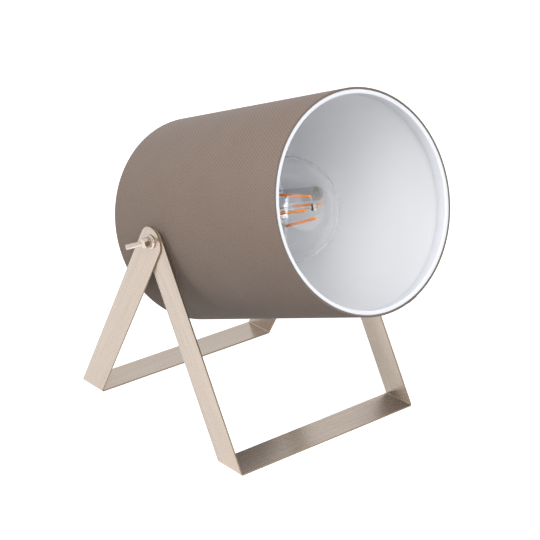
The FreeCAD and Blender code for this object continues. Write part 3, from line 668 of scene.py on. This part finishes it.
def hub_cage(levels):
    """A stack of rings, each (radius, height), closed at both ends."""
    bm = bmesh.new()
    loops = []
    for radius, height in levels:
        circle = bmesh.ops.create_circle(bm, cap_ends=False, radius=radius, segments=HUB_SIDES)
        ring = circle["verts"]
        bmesh.ops.rotate(bm, verts=ring, cent=(0, 0, 0),
                         matrix=Matrix.Rotation(math.pi / HUB_SIDES, 3, "Z"))
        bmesh.ops.translate(bm, verts=ring, vec=(0, 0, height))
        loops.append([edge for edge in bm.edges if all(v in ring for v in edge.verts)])
    for lower, upper in zip(loops, loops[1:]):
        bmesh.ops.bridge_loops(bm, edges=lower + upper)
    for end in (loops[0], loops[-1]):
        bmesh.ops.holes_fill(bm, edges=end, sides=HUB_SIDES)
    bmesh.ops.recalc_face_normals(bm, faces=bm.faces[:])
    return bm


def pull_wing(bm, way, seat, tip_low, tip_high, reach):
    """Pulls the hub's side face out in steps, away and up, into one wing."""
    start = [face for face in bm.faces if face.normal.x * way > 0.85
             and seat[0] < face.calc_center_median().z < seat[1]]
    crease = bm.edges.layers.float.get("crease_edge") or bm.edges.layers.float.new("crease_edge")
    for out, up in WING_STEPS:
        grown = bmesh.ops.extrude_face_region(bm, geom=start)["geom"]
        verts = [item for item in grown if isinstance(item, bmesh.types.BMVert)]
        bmesh.ops.delete(bm, geom=start, context="FACES_ONLY")
        start = [item for item in grown if isinstance(item, bmesh.types.BMFace)]
        heights = [v.co.z for v in verts]
        low, high = min(heights), max(heights)
        goal_low = seat[0] + (tip_low - seat[0]) * up
        goal_high = seat[1] + (tip_high - seat[1]) * up
        for v in verts:
            share = (v.co.z - low) / (high - low)
            v.co.z = goal_low + (goal_high - goal_low) * share
            v.co.x = way * (WING_FOOT + (reach - WING_FOOT) * out)
            thickness = WING_FOOT + (WING_THICK - WING_FOOT) * min(out * 2, 1)
            v.co.y = math.copysign(thickness, v.co.y) / 2
            for edge in v.link_edges:
                if abs(edge.verts[0].co.x - edge.verts[1].co.x) > 0.2 * MM and out > 0.1:
                    edge[crease] = WING_CREASE


def make_wing_screw(node):
    """Flange, hub and wings in one casting. Returns what its shank needs."""
    place = wing_place(node)
    low, high, _, reach = measure(node, place)
    seat = abs(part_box("back_stand")[1][1]) + SCREW_PLAY
    flange_top = seat + FLANGE_WALL
    hub_top = flange_top + HUB_HEIGHT
    wing_seat = (flange_top + HUB_FILLET, hub_top - HUB_SHOULDER)
    heights = (seat, seat + HUB_EASE, flange_top - HUB_EASE, flange_top, flange_top + HUB_EASE,
               *wing_seat, hub_top - HUB_CROWN, hub_top)
    cage = hub_cage([(radius * MM, height) for radius, height in zip(HUB_RADII_MM, heights)])
    for way in (-1, 1):
        pull_wing(cage, way, wing_seat, high - WING_TIP, high, reach)
    bmesh.ops.recalc_face_normals(cage, faces=cage.faces[:])
    piece = place_piece(cage, node.replace("wing_screw", "polished_wing"), node, polished_nickel,
                        place, sharp=180)
    smooth = piece.modifiers.new("smooth", "SUBSURF")
    smooth.levels = smooth.render_levels = 3
    return place, low, seat


def make_shank(node, place, low, seat):
    """The threaded shank, with its crests as rings. Its front end is sunk into the flange."""
    outline = [(0, low), (SHANK_ROOT, low)]
    for number in range(int((seat - low) / SHANK_PITCH) - 1):
        height = low + SHANK_PITCH * (number + 0.5)
        outline += [(SHANK_RADIUS, height), (SHANK_ROOT, height + SHANK_PITCH / 2)]
    outline += [(SHANK_RADIUS, seat - SHANK_COLLAR), (SHANK_RADIUS, seat + SHANK_SUNK),
                (0, seat + SHANK_SUNK)]
    shank = turned(outline, steps=24)
    place_piece(shank, node.replace("wing_screw", "screw_shank"), node, polished_nickel, place,
                replaces=False)


for screw in ("wing_screw_right", "wing_screw_left"):
    make_shank(screw, *make_wing_screw(screw))

# %% [markdown]
# Between the shade and the stands, each side has a turned bush riveted to the yoke and a nylon
# washer.

# %% Bushes, washers and yoke
BUSH_EDGE = 0.4 * MM
RIVET_INSET = 0.2 * MM
SPIGOT_RADIUS = 4.0 * MM
YOKE_WALL = 1.5 * MM
YOKE_EDGE = 0.25 * MM
yoke_face = abs(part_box("yoke")[1][1])

for side_name, outward in (("left", left), ("right", -left)):
    place = axis_place(pivot, outward, Vector((0, 0, 1)))
    node = "pivot_bush_" + side_name
    rear, front, bore, rim = measure(node, place)
    rivet = rim - RIVET_INSET
    bush = turned([(bore, rear), (rivet, rear, BUSH_EDGE), (rivet, yoke_face - YOKE_WALL),
                   (SPIGOT_RADIUS, yoke_face - YOKE_WALL), (SPIGOT_RADIUS, yoke_face),
                   (rim, yoke_face, BUSH_EDGE), (rim, front, BUSH_EDGE), (bore, front)], steps=48)
    place_piece(bush, "turned_bush_" + side_name, node, polished_nickel, place)
    node = "friction_washer_" + side_name
    rear, front, bore, rim = measure(node, place)
    washer = turned([(bore, rear), (rim, rear), (rim, front), (bore, front)], steps=48)
    place_piece(washer, "nylon_washer_" + side_name, node, nylon, place)

yoke = welded_copy("yoke")
break_edges(yoke, YOKE_EDGE, off_the_hole)
place_piece(yoke, "yoke_strip", "yoke", zinc_plate, sharp=50)

# %% [markdown]
# ## The lampholder
# Two moulded halves screw together round a porcelain core. The front half has grip ribs, raised
# from every other strip of its wall by an inset. The screw shell and the bulb's cap share a round
# thread, drawn as rings.


# %% Lampholder
E27_PITCH = 3.62 * MM
THREAD_STEPS = 8
HOLDER_ROUND = 1.2 * MM
HOLDER_WALL = 1.9 * MM
HOLDER_END = 2.4 * MM
HOLDER_NECK = 11 * MM
HOLDER_SHOULDER = 7 * MM
HOLDER_DEPTH = 8 * MM
HOLDER_LINE = 0.3 * MM
BOSS_RADIUS = 8 * MM
BOSS_LENGTH = 11 * MM
SLEEVE_PLAY = 0.1 * MM
SLEEVE_STEPS = 96
MOUTH_EDGE = 0.5 * MM
RIB_AREA = 20 * MM * MM
RIB_HEIGHT = 0.35 * MM
RIB_INSET = 0.15 * MM
CORE_EDGE = 0.5 * MM
SHELL_WALL = 0.25 * MM
SHELL_STEP = 0.35 * MM
SHELL_WAVE = 0.1 * MM
SHELL_FOOT = 2 * MM
SHELL_LIP = 1 * MM


def thread_outline(low, high, mean, depth):
    """The wavy line of a round thread, from low to high."""
    steps = max(int((high - low) / E27_PITCH * THREAD_STEPS), THREAD_STEPS)
    heights = [low + (high - low) * step / steps for step in range(steps + 1)]
    return [(mean - depth * math.cos(FULL_TURN * (height - low) / E27_PITCH), height)
            for height in heights]


cap_rear, cap_front, cap_bore, cap_rim = measure("holder_cap")
cap_inside = cap_rim - HOLDER_WALL
boss_end = cap_rear + BOSS_LENGTH
holder_cap = turned([(cap_bore, cap_rear), (HOLDER_NECK, cap_rear, HOLDER_ROUND),
                     (cap_rim, cap_rear + HOLDER_SHOULDER, 2 * HOLDER_ROUND),
                     (cap_rim, cap_front, HOLDER_LINE), (cap_inside, cap_front),
                     (cap_inside, cap_rear + HOLDER_DEPTH),
                     (HOLDER_NECK, cap_rear + HOLDER_END), (BOSS_RADIUS, cap_rear + HOLDER_END),
                     (BOSS_RADIUS, boss_end), (cap_bore, boss_end)], steps=72)
place_piece(holder_cap, "holder_rear_half", "holder_cap", white_thermoplastic, shade_place)

sleeve_rear, sleeve_front, sleeve_bore, sleeve_rim = measure("holder_sleeve")
joint_line = cap_front + SLEEVE_PLAY
tongue = cap_inside - SLEEVE_PLAY
sleeve = turned([(sleeve_bore, sleeve_rear), (tongue, sleeve_rear), (tongue, joint_line),
                 (sleeve_rim, joint_line, HOLDER_LINE),
                 (sleeve_rim, sleeve_front - HOLDER_SHOULDER),
                 (sleeve_rim, sleeve_front, HOLDER_ROUND * 1.5),
                 (sleeve_bore, sleeve_front, MOUTH_EDGE)], steps=SLEEVE_STEPS)


def is_rib(face):
    """True for every other long face of the sleeve's outer wall."""
    middle = face.calc_center_median()
    upright = face.normal.z ** 2 < 0.01 and face.calc_area() > RIB_AREA
    outside = math.hypot(middle.x, middle.y) > sleeve_rim - HOLDER_LINE
    number = round(math.atan2(middle.y, middle.x) / (FULL_TURN / SLEEVE_STEPS) - 0.5)
    return upright and outside and number % 2 == 0


ribs = [face for face in sleeve.faces if is_rib(face)]
bmesh.ops.inset_individual(sleeve, faces=ribs, thickness=RIB_INSET, depth=RIB_HEIGHT)
place_piece(sleeve, "holder_front_half", "holder_sleeve", white_thermoplastic, shade_place)
print("grip ribs:", len(ribs))

core_rear, core_front, _, core_rim = measure("holder_core")
core = turned([(0, core_rear), (core_rim, core_rear, CORE_EDGE), (core_rim, core_front, CORE_EDGE),
               (0, core_front)], steps=48)
place_piece(core, "porcelain_core", "holder_core", porcelain, shade_place)

shell_rear, shell_front, shell_foot, shell_rim = measure("screw_shell")
inner_wave = thread_outline(shell_rear + SHELL_FOOT, shell_front - SHELL_LIP,
                            shell_rim - SHELL_STEP, SHELL_WAVE)
outer_wave = [(radius + SHELL_WALL, height) for radius, height in reversed(inner_wave)]
shell = turned([(shell_foot, shell_rear), (shell_foot, shell_rear + SHELL_STEP)] + inner_wave
               + outer_wave + [(shell_rim, shell_rear)], steps=64)
place_piece(shell, "holder_screw_shell", "screw_shell", brass, shade_place)

# %% [markdown]
# ## The bulb
# The globe and its neck are one outline: a straight neck, a hollow curve tangent to it and to the
# globe, and the globe's arc up to the crown. Spinning the outer line up and the inner line back
# down makes the thin wall that refracts as real glass does. Clear glass casts almost no shadow, so
# neither glass piece casts one here.

# %% Globe
GLASS_WALL = 0.8 * MM
NECK_RADIUS = 12.4 * MM
NECK_FLARE = 20 * MM

glass_rear, glass_crown, _, globe_radius = measure("bulb_glass")
globe_centre = glass_crown - globe_radius


def globe_line(inset):
    """The glass's outline from its rear edge to its crown, drawn in by an inset."""
    ball = globe_radius - inset
    neck_line = NECK_RADIUS - inset
    flare = NECK_FLARE + inset
    side = neck_line + flare
    down = math.sqrt((ball + flare) ** 2 - side ** 2)
    meet = math.degrees(math.atan2(down, -side))
    start = math.degrees(math.atan2(-down, side))
    line = [(neck_line, glass_rear)]
    line += arc((side, globe_centre - down), flare, 180, meet, 14)
    line += arc((0, globe_centre), ball, start, 90, 60)[1:]
    return line[:-1] + [(0, line[-1][1])]


globe = turned(globe_line(0) + globe_line(GLASS_WALL)[::-1], steps=128)
globe_piece = place_piece(globe, "glass_globe", "bulb_glass", clear_glass, shade_place, sharp=60)
globe_piece.visible_shadow = False

# %% [markdown]
# Inside, a flared glass stem holds a thin rod with a bead at its front. Four filaments stand round
# the rod and lean in towards the bead, each held by a wire at both ends.

# %% Stem, filaments and wires
BEAD = 2.8 * MM
ROD = 1.3 * MM
STEM = 3.2 * MM
STEM_FLARE = 12 * MM
STEM_WALL = 1 * MM
PINCH = 30 * MM
PINCH_TAPER = 3 * MM
PINCH_ROUND = 1.5 * MM
TAPER_ROUND = 1.0 * MM
FILAMENT_SWELL = 0.2 * MM
ROUND_END = 0.7
CUT_END = 0.2

stem_rear, stem_front, _, stem_rim = measure("bulb_stem")
bead_at = stem_front - BEAD
flare = []
for degrees in range(10, 91, 10):
    turn = math.radians(degrees)
    flare.append((STEM + (stem_rim - STEM) * (1 - math.sin(turn)),
                  stem_rear + STEM_FLARE * (1 - math.cos(turn))))
stem = turned([(0, stem_rear + STEM_WALL), (stem_rim - STEM_WALL, stem_rear), (stem_rim, stem_rear)]
              + flare + [(STEM, PINCH, PINCH_ROUND), (ROD, PINCH + PINCH_TAPER, TAPER_ROUND),
                         (ROD, bead_at - BEAD * 0.7)]
              + arc((0, bead_at), BEAD, -50, 90, 10)[:-1] + [(0, bead_at + BEAD)], steps=40)
stem_piece = place_piece(stem, "stem_and_rod", "bulb_stem", stem_glass, shade_place, sharp=70)
stem_piece.visible_shadow = False


def islands(node):
    """The separate solids of a node, each as its list of points."""
    bm = bmesh.new()
    bm.from_mesh(frame["nodes"][node].data)
    bmesh.ops.remove_doubles(bm, verts=bm.verts[:], dist=WELD)
    left_over = set(bm.verts)
    groups = []
    while left_over:
        group, front = [], [left_over.pop()]
        while front:
            vertex = front.pop()
            group.append(vertex.co.copy())
            for edge in vertex.link_edges:
                other = edge.other_vert(vertex)
                if other in left_over:
                    left_over.remove(other)
                    front.append(other)
        groups.append(group)
    bm.free()
    return groups


def rod_ends(points):
    """The two ends and the radius of a straight round rod, from its points."""
    middle = sum(points, Vector()) / len(points)
    far = max(points, key=lambda point: (point - middle).length)
    rough = (far - middle).normalized()
    head = [point for point in points if (point - middle).dot(rough) > 0]
    tail = [point for point in points if (point - middle).dot(rough) <= 0]
    start = sum(tail, Vector()) / len(tail)
    end = sum(head, Vector()) / len(head)
    along = (end - start).normalized()
    return start, end, max((point - start).cross(along).length for point in tail)


def add_rod(bm, start, end, radius, softness):
    """A round rod between two points, its ends rounded by a share of its radius."""
    length = (end - start).length
    edge = radius * softness
    rod = turned([(0, 0), (radius, 0, edge), (radius, length, edge), (0, length)], steps=16)
    turn_it = (end - start).to_track_quat("Z", "Y").to_matrix().to_4x4()
    bmesh.ops.transform(rod, matrix=Matrix.Translation(start) @ turn_it, verts=rod.verts[:])
    holder = bpy.data.meshes.new("rod")
    rod.to_mesh(holder)
    rod.free()
    bm.from_mesh(holder)
    bpy.data.meshes.remove(holder)


def make_rods(name, node, material, softness, swell=0.0):
    """One piece of all the rods of a node, each thicker than the frame's by the swell."""
    bm = bmesh.new()
    for points in islands(node):
        start, end, radius = rod_ends(points)
        add_rod(bm, start, end, radius + swell, softness)
    print(name, "radius mm", round(radius / MM, 3))
    place_piece(bm, name, node, material)


make_rods("filament_strips", "filaments", amber, ROUND_END, swell=FILAMENT_SWELL)
make_rods("filament_leads", "filament_wires", drawn_steel, CUT_END)

# %% [markdown]
# The bulb's cap has a rounded thread and a collar crimped to the neck.

# %% Bulb cap
CAP_COLLAR = 5 * MM
CAP_EDGE = 0.3 * MM
CAP_WALL = 1.2 * MM
CAP_SHOULDER = 0.6 * MM
CAP_WAVE = 0.45 * MM

bulb_cap_rear, bulb_cap_front, _, bulb_cap_rim = measure("bulb_cap")
thread_top = bulb_cap_front - CAP_COLLAR
cap_wave = thread_outline(bulb_cap_rear, thread_top, bulb_cap_rim - CAP_WAVE, CAP_WAVE)
cap_inner = bulb_cap_rim - CAP_WALL
collar_inner = NECK_RADIUS + GLUE_LINE
bulb_cap = turned([(cap_inner, bulb_cap_rear)] + cap_wave
                  + [(bulb_cap_rim, thread_top + CAP_SHOULDER, CAP_EDGE),
                     (bulb_cap_rim, bulb_cap_front, CAP_EDGE), (collar_inner, bulb_cap_front),
                     (collar_inner, thread_top), (cap_inner, thread_top)], steps=64)
place_piece(bulb_cap, "bulb_screw_cap", "bulb_cap", nickel_cap_plate, shade_place, sharp=60)

# %% [markdown]
# ## What stays as the frame has it
# Small turned or flat pieces that are hidden in the closed shade keep the frame's mesh and only
# get their finish.

# %% Finishes on the frame's own pieces
kept_finishes = {
    "front_wire": drawn_steel, "rear_wire": drawn_steel, "threaded_nipple": zinc_plate,
    "nipple_nut": zinc_plate, "centre_contact": brass, "side_contact": brass,
    "terminal_screws": zinc_plate, "cap_insulator": black_vitrite, "base_contact": nickel_cap_plate,
}
for node, finish in kept_finishes.items():
    for slot in frame["nodes"][node].material_slots:
        slot.material = finish
print("kept nodes:", len(kept_finishes))

# %% [markdown]
# ## The set
# The photograph has a pure white ground. The floor is white paper that also shines a little to the
# camera and, less, in mirrors, so it reads as white without putting more light on the lamp, and it
# still takes the lamp's soft shadow.

# %% Floor
FLOOR_HALF = 4.0
SEEN_GLOW = 0.66
MIRRORED_GLOW = 0.34
WHITE = linear("#FFFFFF")


def ray_tests(tree):
    """Tells rays that look straight or through glass, those that a surface mirrors, and both."""
    rays = add_node(tree, "ShaderNodeLightPath").outputs
    seen = calculate(tree, "MAXIMUM", rays["Is Camera Ray"], rays["Is Transmission Ray"])
    return seen, rays["Is Glossy Ray"], calculate(tree, "MAXIMUM", seen, rays["Is Glossy Ray"])


floor_material, floor_tree = start_material("white_paper")
seen, reflected, either = ray_tests(floor_tree)
lift = calculate(floor_tree, "MULTIPLY", reflected, MIRRORED_GLOW)
glow = add_share(floor_tree, lift, seen, SEEN_GLOW)
tone = blend(floor_tree, either, "#A09E9C", "#F2F2F2")
paper = add_node(floor_tree, "ShaderNodeBsdfDiffuse", {"Color": tone})
light = add_node(floor_tree, "ShaderNodeEmission", {"Color": WHITE, "Strength": glow})
end_material(floor_tree, add_node(floor_tree, "ShaderNodeAddShader",
                                  {0: paper.outputs[0], 1: light.outputs[0]}))

floor_mesh = bmesh.new()
bmesh.ops.create_grid(floor_mesh, x_segments=1, y_segments=1, size=FLOOR_HALF)
floor_data = bpy.data.meshes.new("floor")
floor_mesh.to_mesh(floor_data)
floor_mesh.free()
floor_data.materials.append(floor_material)
floor = bpy.data.objects.new("floor", floor_data)
bpy.context.scene.collection.objects.link(floor)

# %% [markdown]
# The light is a white studio: an even sky and four soft boxes. One stands high on the camera's
# left and lays the stand's soft shadow on the cloth. A tall narrow one behind the camera is the
# only one that is mirrored, and draws the streak on the globe. The other two stand in front: one
# lights the rim and the stand, and one shines into the shade.

# %% World and lights
SKY_LIGHT = 0.5
SKY_SEEN = 1.0

world = bpy.data.worlds.new("studio")
world.use_nodes = True
world_tree = world.node_tree
world_tree.nodes.clear()
sky = add_node(world_tree, "ShaderNodeBackground", {"Color": WHITE, "Strength": SKY_LIGHT})
white = add_node(world_tree, "ShaderNodeBackground", {"Color": WHITE, "Strength": SKY_SEEN})
shown = add_node(world_tree, "ShaderNodeMixShader",
                 {0: ray_tests(world_tree)[2], 1: sky.outputs[0], 2: white.outputs[0]})
add_node(world_tree, "ShaderNodeOutputWorld", {"Surface": shown.outputs[0]})
bpy.context.scene.world = world


def soft_box(name, offset, width, height, watts, mirrored=True):
    """A rectangular area light at an offset from the pivot, facing it."""
    data = bpy.data.lights.new(name, "AREA")
    data.shape = "RECTANGLE"
    data.size = width
    data.size_y = height
    data.energy = watts
    box = bpy.data.objects.new(name, data)
    box.location = pivot + Vector(offset)
    box.rotation_euler = Vector(offset).to_track_quat("Z", "Y").to_euler()
    box.visible_glossy = mirrored
    bpy.context.scene.collection.objects.link(box)


soft_box("key_box", (-0.35, -1.35, 1.15), 0.8, 0.8, 12, mirrored=False)
soft_box("strip_box", -LOOK * 1.5, 0.3, 1.1, 5.4)
soft_box("front_box", (0.95, -1.05, 1.15), 0.8, 0.8, 10.5, mirrored=False)
soft_box("inside_box", (1.25, -0.35, 0.9), 0.9, 0.9, 7, mirrored=False)
bpy.context.scene.view_settings.view_transform = "Standard"
